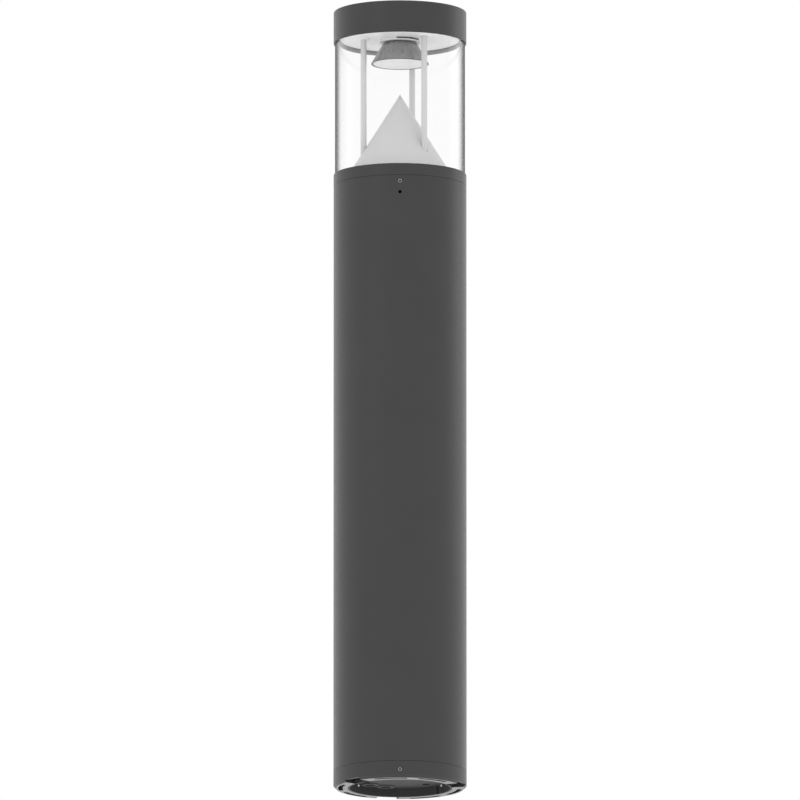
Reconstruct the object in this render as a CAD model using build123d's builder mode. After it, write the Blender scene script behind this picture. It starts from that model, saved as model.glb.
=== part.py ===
# Bollard light: a round aluminium post on a floor anchor, with a lift-off lamp head.
# Millimetres, +Z up, origin on the ground in the middle of the post.
# An azimuth is counted from the front (-Y) towards the right (+X).
from build123d import *
from math import acos, asin, cos, degrees, radians, sin
import os

os.makedirs("parts", exist_ok=True)

# ---- overall sizes ----
body_diameter = 180.0
total_height = 1066.8
base_height = 22.7
collar_height = 16.0
lens_window = 181.0
cap_height = 43.4

# ---- clearances ----
bonded_gap = 0.15      # spigot bonded inside the tube
sliding_gap = 0.3      # between the head and the post
screw_gap = 0.15       # round a screw in its hole
seat_gap = 0.3         # loose seat, such as a plate in a rail
seam_chamfer = 0.35    # broken edges where two outer parts meet
lap = 1.0              # how far one block of a solid is drawn into the next

# ---- post ----
tube_wall = 4.0
base_spigot_length = 30.3
base_spigot_wall = 6.5
head_spigot_length = 20.0
head_spigot_wall = 6.6
rail_depth = 6.0
rail_rib = 3.0
rail_end_room = 10.0
vent_radius = 2.25
vent_drop = 23.6       # below the tube's top edge
screw_azimuths = (0, 120, 240)
set_screw_radius = 2.85
set_screw_hex = 2.9
set_screw_socket = 2.2
head_screw_drop = 8.2
base_screw_height = 10.6
base_screw_tip = 5.0   # what shows inside the anchor's rim
screw_recess = 0.2

# ---- base ring and anchor plate ----
foot_chamfer = 3.6
ring_width = 19.5
pocket_width = 6.1
pocket_inset = 6.4
pocket_depth = 4.4
pocket_start = 5.0     # degrees either side of a segment's middle
pocket_end = 38.0
segment_azimuth = 12.5
notch_azimuth = 72.5
notch_width = 28.8
notch_height = 3.0
notch_roof = 12.0      # hollow over a notch, behind the ring's outer skin
notch_skin = 4.2
notch_land = 3.0
ledge_width = 3.4
anchor_height = 16.0
anchor_web = 5.0
anchor_rim = 2.4
anchor_hole_radius = 5.5
anchor_hole_inset = 19.8
key_slot_azimuth = 130.5
key_slot_width = 6.0
key_slot_depth = 14.0  # pocket behind it in the ring's inner wall
key_slot_levels = (1.5, 11.5)
grommet_bore = 7.0
grommet_neck = 9.6
grommet_flange = 11.5
grommet_lip = 1.5
entry_room = 1.2       # between a grommet's flange and an anchor hole
entry_pitch = 26.0

# ---- lens and collar ----
lens_wall = 5.0
lens_skirt = 1.6       # metal outside the lens, on the collar and on the cap
lens_gap = 0.3
lens_sink = 8.4        # how far the lens goes down into the collar
lens_rise = 9.6        # and up into the cap
gasket_height = 2.0
deck_thickness = 4.0   # deck plate, bonded in the collar's bore
deck_drop = 8.4        # deck's top face below the collar's top edge
lip_width = 3.0
lip_height = 2.0
o_ring_radius = 1.6
o_ring_room = 0.2      # groove wider and deeper than the ring by this
o_ring_rise = 3.0      # groove above the spigot's lower end

# ---- cap and ceiling ----
cap_roof = 4.0
cap_ledge = 3.3
cap_edge = 1.2
boss_radius = 5.0
boss_inset = 11.5
boss_azimuth = 100.5
ceiling_height = 5.2   # white plate's lower face above the cap's lower edge
ceiling_thickness = 2.0
ceiling_gap = 0.5
ceiling_screw = 2.0
ceiling_screw_reach = 12.0
ceiling_screw_head = 1.2
boss_hole_depth = 14.0
standoff_radius = 3.2
standoff_height = 13.4
standoff_circle = 35.0
standoff_screw = 1.5
standoff_floor = 4.0   # solid metal left under its screw hole
hole_end_room = 1.0

# ---- optic and lamp ----
mouth_radius = 39.2
throat_radius = 21.9
optic_drop = 3.7       # throat's top below the ceiling
optic_height = 29.6
optic_wall = 1.2
diffuser_thickness = 2.5
diffuser_inset = 0.4
neck_radius = 23.0
neck_bore = 16.0
neck_hole_gap = 4.0
neck_tail = 3.8
skirt_radius = 27.3    # collar of the holder, just under the ceiling
skirt_wall = 1.6
skirt_height = 3.5
skirt_lip = 1.5
skirt_window = (-10, 31, 72)   # azimuths of the opening in it, with its middle
holder_flange = 30.0
holder_flange_height = 4.5
holder_screw_circle = 26.5
holder_screw_head = 1.8
lead_slot_room = 1.0
lead_slot_floor = 0.9
board_radius = 20.0
board_thickness = 1.6
chip_radius = 8.0
chip_thickness = 1.3
pad_thickness = 0.5
sink_radius = 40.0
sink_base = 4.0
fin_height = 12.0
fin_thickness = 2.0
fin_pitch = 8.0
sink_screw_head = 2.0

# ---- tie rods ----
rod_radius = 4.0
rod_bore = 2.25
rod_clearance = 6.8    # optic's mouth to the rod's side
rod_azimuth = 40.5
rod_hole_gap = 0.2
cone_hole_radius = 4.6
rod_flange_radius = 8.5
rod_flange_thickness = 1.5
nut_across_flats = 13.0
nut_height = 5.0
rod_end = 1.4          # thread beyond a nut

# ---- cone reflector ----
cone_slope = 0.6255    # radius gained for each millimetre down
cone_wall = 1.5
cone_foot = 4.6
cone_foot_gap = 1.3
cone_screw = 1.5
cone_screw_head = 1.4
cone_screw_rim = 0.6

# ---- wiring gear ----
tray_thickness = 2.0
tray_side_room = 1.2
tray_top_room = 36.0
lead_radius = 1.7
lead_bend = 5.0
lead_end_drop = 12.0   # below the rear rod, before the lead turns
lead_plug_run = 14.0
gear_offset = 14.0     # lead line in front of the tray's face
plug_radius = 8.0
plug_length = 28.0
plug_drop = 36.0
socket_length = 30.0
socket_nose = 10.0
socket_nose_radius = 5.6
socket_nose_gap = 0.6
driver_size = (42.0, 30.0, 150.0)
driver_drop = 22.0
driver_shift = -8.7
driver_edge = 2.0
ear_length = 10.0
ear_thickness = 3.0
tray_screw_radius = 1.5
tray_screw_head = 2.0
tray_screw_end = 3.0
tray_nut_flats = 5.5
tray_nut_height = 2.4
surge_size = (34.0, 26.0, 62.0)
surge_drop = 60.0
surge_edge = 1.6
terminal_size = (48.0, 20.0, 24.0)
terminal_rise = 90.0
terminal_edge = 1.2
wire_hole = 2.6
wire_hole_depth = 7.0
clamp_well = 2.4
clamp_well_depth = 3.0
earth_rise = 55.0
earth_shift = -40.0
earth_radius = 2.5
earth_rear = 16.0      # stud behind the tray, and in front of it
earth_front = 8.0
earth_nut_flats = 8.0
earth_nut_height = 4.0
bracket_height = 12.0
bracket_half_width = 20.0
bracket_wall = 2.5
bracket_hole_inset = 4.5
bracket_back = 2.0

# ---- radii and levels that follow ----
body_radius = body_diameter / 2
tube_inner = body_radius - tube_wall
base_spigot_radius = tube_inner - bonded_gap
base_spigot_top = base_height + base_spigot_length
tube_top = total_height - cap_height - lens_window - collar_height
collar_top = tube_top + collar_height
cap_bottom = collar_top + lens_window
head_spigot_radius = tube_inner - sliding_gap
head_spigot_bottom = tube_top - head_spigot_length
collar_bore = head_spigot_radius - head_spigot_wall
ring_inner = body_radius - ring_width
anchor_radius = ring_inner - seat_gap
anchor_inner = anchor_radius - anchor_rim
anchor_circle = anchor_inner - anchor_hole_inset
entry_circle = anchor_inner - base_screw_tip - screw_gap - grommet_flange
groove_outer = body_radius - lens_skirt
lens_outer = groove_outer - lens_gap
lens_inner = lens_outer - lens_wall
groove_inner = lens_inner - lens_gap
groove_bottom = collar_top - lens_sink - gasket_height
lens_top = cap_bottom + lens_rise
deck_top = collar_top - deck_drop
deck_bottom = deck_top - deck_thickness
ceiling_radius = lens_inner - ceiling_gap
ceiling_bottom = cap_bottom + ceiling_height
ceiling_top = ceiling_bottom + ceiling_thickness
boss_circle = ceiling_radius - boss_inset
roof_bottom = total_height - cap_roof
throat_top = ceiling_bottom - optic_drop
mouth_bottom = throat_top - optic_height
sink_bottom = ceiling_top + standoff_height
board_bottom = sink_bottom - pad_thickness - board_thickness
rod_circle = mouth_radius + rod_clearance + rod_radius
rod_top = ceiling_top + nut_height + rod_end
rod_bottom = deck_bottom - nut_height - rod_end
cone_radius = groove_inner - lip_width - cone_foot - cone_foot_gap
cone_base = deck_top + cone_wall
cone_apex = cone_base + cone_radius / cone_slope
tray_face = tray_thickness / 2
tray_top = head_spigot_bottom - tray_top_room
gear_line = tray_face + gear_offset
plug_top = head_spigot_bottom - plug_drop
plug_bottom = plug_top - plug_length
socket_bottom = plug_bottom - socket_length
driver_top = socket_bottom - driver_drop
driver_bottom = driver_top - driver_size[2]
surge_top = driver_bottom - surge_drop
surge_bottom = surge_top - surge_size[2]
terminal_bottom = base_spigot_top + terminal_rise
terminal_top = terminal_bottom + terminal_size[2]


# Position on a circle at an azimuth.
def spot(radius, azimuth, z=0.0):
    return Vector(radius * sin(radians(azimuth)), -radius * cos(radians(azimuth)), z)


# Three places on a circle, 120 degrees apart.
def three_places(radius, azimuth):
    return PolarLocations(radius, 3, start_angle=azimuth - 90)


# Plane at an azimuth whose normal points outwards, for a radial hole or screw.
def radial_plane(radius, azimuth, z):
    return Plane(spot(radius, azimuth, z), x_dir=(0, 0, 1), z_dir=spot(1, azimuth))


# The widest circle at the lowest (0) or the highest (-1) level of a turned piece.
def outer_edges(piece, level):
    circles = piece.edges().filter_by(GeomType.CIRCLE).group_by(Axis.Z)[level]
    return circles.sort_by(SortBy.RADIUS)[-1:]


def save(piece, name):
    piece.part.label = name
    export_step(piece.part, f"parts/{name}.step")


# The rear rod carries the lamp's lead, so the plug and the gear line up behind it.
lead_spot = spot(rod_circle, rod_azimuth + 120)

# ================= post =================

with BuildPart() as post_tube:
    with BuildSketch(Plane.XY.offset(base_height)):
        Circle(body_radius)
        Circle(tube_inner, mode=Mode.SUBTRACT)
    extrude(amount=tube_top - base_height)
    chamfer(outer_edges(post_tube, 0) + outer_edges(post_tube, -1), seam_chamfer)
    rail_gap = tray_face + seat_gap
    with BuildSketch(Plane.XY.offset(base_spigot_top + rail_end_room)):
        Circle(tube_inner + tube_wall / 2)
        Rectangle(2 * (tube_inner - rail_depth), 2 * body_radius, mode=Mode.SUBTRACT)
        Rectangle(2 * body_radius, 2 * (rail_gap + rail_rib), mode=Mode.INTERSECT)
        Rectangle(2 * body_radius, 2 * rail_gap, mode=Mode.SUBTRACT)
    extrude(amount=head_spigot_bottom - base_spigot_top - 2 * rail_end_room)
    for azimuth in screw_azimuths:
        with BuildSketch(radial_plane(tube_inner - lap, azimuth, tube_top - head_screw_drop)):
            Circle(set_screw_radius + screw_gap)
        extrude(amount=tube_wall + 2 * lap, mode=Mode.SUBTRACT)
    with BuildSketch(radial_plane(tube_inner - lap, 0, tube_top - vent_drop)):
        Circle(vent_radius)
    extrude(amount=tube_wall + 2 * lap, mode=Mode.SUBTRACT)
save(post_tube, "post_tube")

# The tips stop just short of the spigot, so the head lifts off without taking them out.
with BuildPart() as head_set_screws:
    screw_length = tube_wall - screw_recess - screw_gap
    for azimuth in screw_azimuths:
        outer_plane = radial_plane(body_radius - screw_recess, azimuth, tube_top - head_screw_drop)
        with BuildSketch(outer_plane):
            Circle(set_screw_radius)
        extrude(amount=-screw_length)
        with BuildSketch(outer_plane):
            RegularPolygon(set_screw_hex / 2, 6, major_radius=False)
        extrude(amount=-set_screw_socket, mode=Mode.SUBTRACT)
save(head_set_screws, "head_set_screws")

with BuildPart() as base_ring:
    with BuildSketch():
        Circle(body_radius)
        Circle(ring_inner, mode=Mode.SUBTRACT)
    extrude(amount=base_height)
    chamfer(outer_edges(base_ring, 0), foot_chamfer)
    chamfer(outer_edges(base_ring, -1), seam_chamfer)
    with BuildSketch(Plane.XY.offset(anchor_height)):
        Circle(ring_inner + lap)
        Circle(ring_inner - ledge_width, mode=Mode.SUBTRACT)
    extrude(amount=base_height - anchor_height)
    with BuildSketch(Plane.XY.offset(base_height - lap)):
        Circle(base_spigot_radius)
        Circle(base_spigot_radius - base_spigot_wall, mode=Mode.SUBTRACT)
    extrude(amount=base_spigot_length + lap)
    pocket_middle = body_radius - pocket_inset - pocket_width / 2
    pocket_trim = degrees(pocket_width / 2 / pocket_middle)
    pocket_sweep = pocket_end - pocket_start - 2 * pocket_trim
    with BuildSketch():
        for turn in (0, 120, 240):
            for first in (pocket_start, -pocket_end):
                start_angle = segment_azimuth + turn + first + pocket_trim - 90
                with BuildLine(mode=Mode.PRIVATE) as pocket_line:
                    CenterArc((0, 0), pocket_middle, start_angle, pocket_sweep)
                SlotArc(pocket_line.edge(), pocket_width)
    extrude(amount=pocket_depth, mode=Mode.SUBTRACT)
    with BuildSketch():
        with three_places(body_radius - ring_width / 2, notch_azimuth):
            Rectangle(2 * ring_width, notch_width)
    extrude(amount=notch_height, mode=Mode.SUBTRACT)
    with BuildSketch(Plane.XY.offset(notch_height)):
        Circle(body_radius - notch_skin)
        Circle(ring_inner + notch_land, mode=Mode.SUBTRACT)
        with three_places(body_radius - ring_width / 2, notch_azimuth):
            Rectangle(2 * ring_width, notch_width, mode=Mode.INTERSECT)
    extrude(amount=notch_roof - notch_height, mode=Mode.SUBTRACT)
    for azimuth in screw_azimuths:
        with BuildSketch(radial_plane(ring_inner - lap, azimuth, base_screw_height)):
            Circle(set_screw_radius + screw_gap)
        extrude(amount=ring_width + 2 * lap, mode=Mode.SUBTRACT)
    key_low, key_high = key_slot_levels
    with BuildSketch(radial_plane(ring_inner - lap, key_slot_azimuth, (key_low + key_high) / 2)):
        Rectangle(key_high - key_low, key_slot_width)
    extrude(amount=key_slot_depth + lap, mode=Mode.SUBTRACT)
save(base_ring, "base_ring")

# They go through the ring and the anchor's rim, and their tips show under its web.
with BuildPart() as base_set_screws:
    for azimuth in screw_azimuths:
        outer_plane = radial_plane(body_radius - screw_recess, azimuth, base_screw_height)
        with BuildSketch(outer_plane):
            Circle(set_screw_radius)
        extrude(amount=-(body_radius - screw_recess - anchor_inner + base_screw_tip))
        with BuildSketch(outer_plane):
            RegularPolygon(set_screw_hex / 2, 6, major_radius=False)
        extrude(amount=-set_screw_socket, mode=Mode.SUBTRACT)
save(base_set_screws, "base_set_screws")

# The cable entries stand beside one anchor hole, a grommet's flange clear of it.
entry_reach = grommet_flange + anchor_hole_radius + entry_room
entry_cosine = (anchor_circle**2 + entry_circle**2 - entry_reach**2) / (2 * anchor_circle * entry_circle)
entry_azimuth = segment_azimuth + 240 - degrees(acos(entry_cosine))
entry_step = 2 * degrees(asin(entry_pitch / 2 / entry_circle))
entry_spots = [spot(entry_circle, entry_azimuth), spot(entry_circle, entry_azimuth - entry_step)]
web_bottom = anchor_height - anchor_web

with BuildPart() as anchor_plate:
    with BuildSketch():
        Circle(anchor_radius)
    extrude(amount=anchor_height)
    with BuildSketch():
        Circle(anchor_inner)
    extrude(amount=web_bottom, mode=Mode.SUBTRACT)
    with BuildSketch(Plane.XY.offset(web_bottom)):
        with Locations(entry_spots):
            Circle(grommet_neck + screw_gap)
        with three_places(anchor_circle, segment_azimuth):
            Circle(anchor_hole_radius)
    extrude(amount=anchor_web, mode=Mode.SUBTRACT)
    for azimuth in screw_azimuths:
        with BuildSketch(radial_plane(anchor_inner - base_screw_tip - lap, azimuth, base_screw_height)):
            Circle(set_screw_radius + screw_gap)
        extrude(amount=anchor_rim + base_screw_tip + 2 * lap, mode=Mode.SUBTRACT)
    with BuildSketch():
        with PolarLocations(anchor_inner, 1, start_angle=key_slot_azimuth - 90):
            Rectangle(anchor_rim + lap, key_slot_width)
    extrude(amount=web_bottom, mode=Mode.SUBTRACT)
save(anchor_plate, "anchor_plate")

with BuildPart() as cable_grommets:
    with BuildSketch(Plane.XY.offset(web_bottom - grommet_lip)):
        with Locations(entry_spots):
            Circle(grommet_flange)
    extrude(amount=grommet_lip)
    with BuildSketch(Plane.XY.offset(web_bottom)):
        with Locations(entry_spots):
            Circle(grommet_neck)
    extrude(amount=anchor_web)
    with BuildSketch(Plane.XY.offset(anchor_height)):
        with Locations(entry_spots):
            Circle(grommet_flange)
    extrude(amount=grommet_lip)
    with BuildSketch(Plane.XY.offset(web_bottom - grommet_lip)):
        with Locations(entry_spots):
            Circle(grommet_bore)
    extrude(amount=anchor_web + 2 * grommet_lip, mode=Mode.SUBTRACT)
save(cable_grommets, "cable_grommets")

# ================= wiring gear =================

tray_half_width = tube_inner - tray_side_room


# Four screw places at the ends of a unit's two ears, on the tray's rear face.
def ear_screws(width, low, high, x):
    inset = ear_length / 2
    return [(x + side * width / 4, level) for side in (-1, 1) for level in (low - inset, high + inset)]


driver_x = lead_spot.X + driver_shift
driver_holes = ear_screws(driver_size[0], driver_bottom, driver_top, driver_x)
surge_holes = ear_screws(surge_size[0], surge_bottom, surge_top, driver_x)
terminal_holes = ear_screws(terminal_size[0], terminal_bottom, terminal_top, driver_x)
bracket_level = socket_bottom + (socket_length - socket_nose) / 2
bracket_hole_reach = bracket_half_width - bracket_hole_inset
bracket_holes = [(lead_spot.X + side * bracket_hole_reach, bracket_level) for side in (-1, 1)]
earth_hole = (earth_shift, base_spigot_top + earth_rise)
tray_front = Plane((0, -tray_face, 0), x_dir=(1, 0, 0), z_dir=(0, -1, 0))
tray_rear = Plane((0, tray_face, 0), x_dir=(1, 0, 0), z_dir=(0, -1, 0))

with BuildPart() as gear_tray:
    with BuildSketch(tray_front):
        with Locations((0, (base_spigot_top + tray_top) / 2)):
            Rectangle(2 * tray_half_width, tray_top - base_spigot_top)
    extrude(amount=-tray_thickness)
    with BuildSketch(tray_front):
        with Locations(driver_holes + surge_holes + terminal_holes + bracket_holes):
            Circle(tray_screw_radius + screw_gap)
        with Locations(earth_hole):
            Circle(earth_radius + screw_gap)
    extrude(amount=-tray_thickness, mode=Mode.SUBTRACT)
save(gear_tray, "gear_tray")


# A boxed unit with a screw ear at each end, standing on the tray's rear face.
def boxed_unit(size, bottom, holes, edge):
    width, depth, length = size
    with BuildPart() as unit:
        with BuildSketch(tray_rear):
            with Locations((driver_x, bottom + length / 2)):
                Rectangle(width, length)
        extrude(amount=-depth)
        fillet(unit.edges().filter_by(Axis.Y), edge)
        fillet(unit.faces().sort_by(Axis.Y)[-1].edges(), edge / 2)
        with BuildSketch(tray_rear):
            with Locations((driver_x, bottom + length / 2)):
                Rectangle(width - 2 * edge, length + 2 * ear_length)
        extrude(amount=-ear_thickness)
        with BuildSketch(tray_rear):
            with Locations(holes):
                Circle(tray_screw_radius + screw_gap)
        extrude(amount=-ear_thickness, mode=Mode.SUBTRACT)
    return unit


# Pan-head screws through a seat of a given thickness and the tray, with a nut in front.
def tray_screws(holes, seat_thickness):
    with BuildPart() as screws:
        with BuildSketch(tray_rear.offset(-seat_thickness)):
            with Locations(holes):
                Circle(2 * tray_screw_radius)
        extrude(amount=-tray_screw_head)
        with BuildSketch(tray_rear.offset(-seat_thickness)):
            with Locations(holes):
                Circle(tray_screw_radius)
        extrude(amount=seat_thickness + tray_thickness + tray_screw_end)
        with BuildSketch(tray_front):
            with Locations(holes):
                RegularPolygon(tray_nut_flats / 2, 6, major_radius=False)
        extrude(amount=tray_nut_height)
    return screws


led_driver = boxed_unit(driver_size, driver_bottom, driver_holes, driver_edge)
save(led_driver, "led_driver")
save(tray_screws(driver_holes, ear_thickness), "driver_screws")

surge_protector = boxed_unit(surge_size, surge_bottom, surge_holes, surge_edge)
save(surge_protector, "surge_protector")
save(tray_screws(surge_holes, ear_thickness), "surge_screws")

# Three ways, each with a wire hole through it and a clamp screw well on its face.
terminal_body = boxed_unit(terminal_size, terminal_bottom, terminal_holes, terminal_edge)
with BuildPart() as terminal_block:
    add(terminal_body.part)
    way_pitch = terminal_size[0] / 4
    way_level = terminal_bottom + terminal_size[2] / 2
    way_spots = [(driver_x + step * way_pitch, way_level) for step in (-1, 0, 1)]
    with BuildSketch(Plane.XY.offset(terminal_bottom)):
        with Locations([(x, gear_line) for x, level in way_spots]):
            Circle(wire_hole)
    extrude(amount=wire_hole_depth, mode=Mode.SUBTRACT)
    with BuildSketch(tray_rear.offset(-terminal_size[1])):
        with Locations(way_spots):
            Circle(clamp_well)
    extrude(amount=clamp_well_depth, mode=Mode.SUBTRACT)
save(terminal_block, "terminal_block")
save(tray_screws(terminal_holes, ear_thickness), "terminal_screws")

with BuildPart() as earth_stud:
    with BuildSketch(tray_rear.offset(-earth_rear)):
        with Locations(earth_hole):
            Circle(earth_radius)
    extrude(amount=earth_rear + tray_thickness + earth_front)
save(earth_stud, "earth_stud")

with BuildPart() as earth_nuts:
    with BuildSketch(tray_rear):
        with Locations(earth_hole):
            RegularPolygon(earth_nut_flats / 2, 6, major_radius=False)
    extrude(amount=-earth_nut_height)
    with BuildSketch(tray_front):
        with Locations(earth_hole):
            RegularPolygon(earth_nut_flats / 2, 6, major_radius=False)
    extrude(amount=earth_nut_height)
    with BuildSketch(tray_rear.offset(-earth_nut_height)):
        with Locations(earth_hole):
            Circle(earth_radius + screw_gap)
    extrude(amount=2 * earth_nut_height + tray_thickness, mode=Mode.SUBTRACT)
save(earth_nuts, "earth_nuts")


# A straight lead clipped between two units on the gear line.
def straight_lead(x, low, high, radius):
    with BuildPart() as lead:
        with BuildSketch(Plane.XY.offset(low)):
            with Locations((x, gear_line)):
                Circle(radius)
        extrude(amount=high - low)
    return lead


supply_lead_radius = 3.0
save(straight_lead(driver_x, terminal_top, surge_bottom, supply_lead_radius), "surge_lead")
save(straight_lead(driver_x, surge_top, driver_bottom, supply_lead_radius), "driver_input_lead")
save(straight_lead(lead_spot.X, driver_top, socket_bottom, lead_radius), "driver_output_lead")

with BuildPart() as lead_socket:
    with BuildSketch(Plane.XY.offset(socket_bottom)):
        with Locations((lead_spot.X, gear_line)):
            Circle(plug_radius)
    extrude(amount=socket_length)
    with BuildSketch(Plane.XY.offset(plug_bottom)):
        with Locations((lead_spot.X, gear_line)):
            Circle(socket_nose_radius)
    extrude(amount=socket_nose)
save(lead_socket, "lead_socket")

# A block clamp that holds the socket on the tray.
with BuildPart() as socket_bracket:
    bracket_depth = gear_offset + plug_radius + bracket_back
    with BuildSketch(Plane.XY.offset(bracket_level - bracket_height / 2)):
        with Locations((lead_spot.X, tray_face + bracket_depth / 2)):
            Rectangle(2 * (plug_radius + bracket_wall), bracket_depth)
        with Locations((lead_spot.X, tray_face + ear_thickness / 2)):
            Rectangle(2 * bracket_half_width, ear_thickness)
        with Locations((lead_spot.X, gear_line)):
            Circle(plug_radius + screw_gap, mode=Mode.SUBTRACT)
    extrude(amount=bracket_height)
    with BuildSketch(tray_rear):
        with Locations(bracket_holes):
            Circle(tray_screw_radius + screw_gap)
    extrude(amount=-ear_thickness, mode=Mode.SUBTRACT)
save(socket_bracket, "socket_bracket")
save(tray_screws(bracket_holes, ear_thickness), "bracket_screws")

# ================= head =================

with BuildPart() as head_collar:
    with BuildSketch(Plane.XY.offset(tube_top)):
        Circle(body_radius)
    extrude(amount=collar_height)
    chamfer(outer_edges(head_collar, 0) + outer_edges(head_collar, -1), seam_chamfer)
    with BuildSketch(Plane.XY.offset(groove_bottom)):
        Circle(groove_outer)
        Circle(groove_inner, mode=Mode.SUBTRACT)
    extrude(amount=collar_top - groove_bottom, mode=Mode.SUBTRACT)
    with BuildSketch(Plane.XY.offset(deck_top + lip_height)):
        Circle((groove_inner + groove_outer) / 2)
    extrude(amount=collar_top - deck_top - lip_height, mode=Mode.SUBTRACT)
    with BuildSketch(Plane.XY.offset(deck_top)):
        Circle(groove_inner - lip_width)
    extrude(amount=lip_height, mode=Mode.SUBTRACT)
    with BuildSketch(Plane.XY.offset(head_spigot_bottom)):
        Circle(head_spigot_radius)
    extrude(amount=head_spigot_length + lap)
    with BuildSketch(Plane.XY.offset(head_spigot_bottom)):
        Circle(collar_bore)
    extrude(amount=deck_top - head_spigot_bottom, mode=Mode.SUBTRACT)
    with BuildSketch(Plane.XY.offset(head_spigot_bottom + o_ring_rise)):
        Circle(head_spigot_radius)
        Circle(head_spigot_radius - 2 * o_ring_radius - o_ring_room, mode=Mode.SUBTRACT)
    extrude(amount=2 * (o_ring_radius + o_ring_room), mode=Mode.SUBTRACT)
save(head_collar, "head_collar")

with BuildPart() as deck_plate:
    with BuildSketch(Plane.XY.offset(deck_bottom)):
        Circle(collar_bore - bonded_gap)
        with three_places(rod_circle, rod_azimuth):
            Circle(rod_radius + rod_hole_gap, mode=Mode.SUBTRACT)
        with three_places(cone_radius + cone_foot / 2, boss_azimuth):
            Circle(cone_screw + screw_gap, mode=Mode.SUBTRACT)
    extrude(amount=deck_thickness)
save(deck_plate, "deck_plate")

with BuildPart() as spigot_o_ring:
    o_ring_level = head_spigot_bottom + o_ring_rise + o_ring_room + o_ring_radius
    with BuildSketch(Plane.XZ):
        with Locations((head_spigot_radius - o_ring_radius, o_ring_level)):
            Circle(o_ring_radius)
    revolve(axis=Axis.Z)
save(spigot_o_ring, "spigot_o_ring")

with BuildPart() as lens:
    with BuildSketch(Plane.XY.offset(collar_top - lens_sink)):
        Circle(lens_outer)
        Circle(lens_inner, mode=Mode.SUBTRACT)
    extrude(amount=lens_top - collar_top + lens_sink)
save(lens, "lens")

for gasket_name, gasket_bottom in (("lens_bottom_gasket", groove_bottom), ("lens_top_gasket", lens_top)):
    with BuildPart() as gasket:
        with BuildSketch(Plane.XY.offset(gasket_bottom)):
            Circle(lens_outer)
            Circle(lens_inner, mode=Mode.SUBTRACT)
        extrude(amount=gasket_height)
    save(gasket, gasket_name)

with BuildPart() as cap_shell:
    with BuildSketch(Plane.XY.offset(cap_bottom)):
        Circle(body_radius)
    extrude(amount=cap_height)
    fillet(outer_edges(cap_shell, -1), cap_edge)
    chamfer(outer_edges(cap_shell, 0), seam_chamfer)
    with BuildSketch(Plane.XY.offset(cap_bottom)):
        Circle(groove_outer)
    extrude(amount=lens_rise + gasket_height, mode=Mode.SUBTRACT)
    with BuildSketch(Plane.XY.offset(cap_bottom)):
        Circle(groove_outer - cap_ledge)
    extrude(amount=roof_bottom - cap_bottom, mode=Mode.SUBTRACT)
    with BuildSketch(Plane.XY.offset(ceiling_top)):
        with three_places(boss_circle, boss_azimuth):
            Circle(boss_radius)
    extrude(amount=roof_bottom - ceiling_top + lap)
    with BuildSketch(Plane.XY.offset(ceiling_top)):
        with three_places(boss_circle, boss_azimuth):
            Circle(ceiling_screw + screw_gap)
    extrude(amount=boss_hole_depth, mode=Mode.SUBTRACT)
save(cap_shell, "cap_shell")

with BuildPart() as ceiling_plate:
    with BuildSketch(Plane.XY.offset(ceiling_bottom)):
        Circle(ceiling_radius)
        Circle(neck_radius + neck_hole_gap, mode=Mode.SUBTRACT)
        with three_places(rod_circle, rod_azimuth):
            Circle(rod_radius + rod_hole_gap, mode=Mode.SUBTRACT)
        with three_places(boss_circle, boss_azimuth):
            Circle(ceiling_screw + screw_gap, mode=Mode.SUBTRACT)
    extrude(amount=ceiling_thickness)
    with BuildSketch(Plane.XY.offset(ceiling_top - lap)):
        with three_places(standoff_circle, boss_azimuth):
            Circle(standoff_radius)
    extrude(amount=standoff_height + lap)
    with BuildSketch(Plane.XY.offset(sink_bottom)):
        with three_places(standoff_circle, boss_azimuth):
            Circle(standoff_screw + screw_gap)
    extrude(amount=-(standoff_height - standoff_floor), mode=Mode.SUBTRACT)
save(ceiling_plate, "ceiling_plate")

with BuildPart() as ceiling_screws:
    with BuildSketch(Plane.XY.offset(ceiling_bottom)):
        with three_places(boss_circle, boss_azimuth):
            Circle(2 * ceiling_screw)
    extrude(amount=-ceiling_screw_head)
    fillet(ceiling_screws.faces().sort_by(Axis.Z)[:3].edges(), ceiling_screw_head / 2)
    with BuildSketch(Plane.XY.offset(ceiling_bottom)):
        with three_places(boss_circle, boss_azimuth):
            Circle(ceiling_screw)
    extrude(amount=ceiling_thickness + ceiling_screw_reach)
save(ceiling_screws, "ceiling_screws")

# Tubular rods, so that the rear one can carry the lamp's lead.
for index in range(3):
    with BuildPart() as tie_rod:
        with BuildSketch(Plane.XY.offset(rod_bottom)):
            with Locations(spot(rod_circle, rod_azimuth + 120 * index)):
                Circle(rod_radius)
                Circle(rod_bore, mode=Mode.SUBTRACT)
        extrude(amount=rod_top - rod_bottom)
    save(tie_rod, f"tie_rod_{index + 1}")

with BuildPart() as rod_flanges:
    with BuildSketch(Plane.XY.offset(ceiling_bottom - rod_flange_thickness)):
        with three_places(rod_circle, rod_azimuth):
            Circle(rod_flange_radius)
            Circle(rod_radius + rod_hole_gap, mode=Mode.SUBTRACT)
    extrude(amount=rod_flange_thickness)
save(rod_flanges, "rod_flanges")

for nut_name, nut_bottom in (("rod_top_nuts", ceiling_top), ("rod_bottom_nuts", deck_bottom - nut_height)):
    with BuildPart() as nuts:
        with BuildSketch(Plane.XY.offset(nut_bottom)):
            with three_places(rod_circle, rod_azimuth):
                RegularPolygon(nut_across_flats / 2, 6, major_radius=False)
                Circle(rod_radius + screw_gap, mode=Mode.SUBTRACT)
        extrude(amount=nut_height)
    save(nuts, nut_name)

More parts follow.
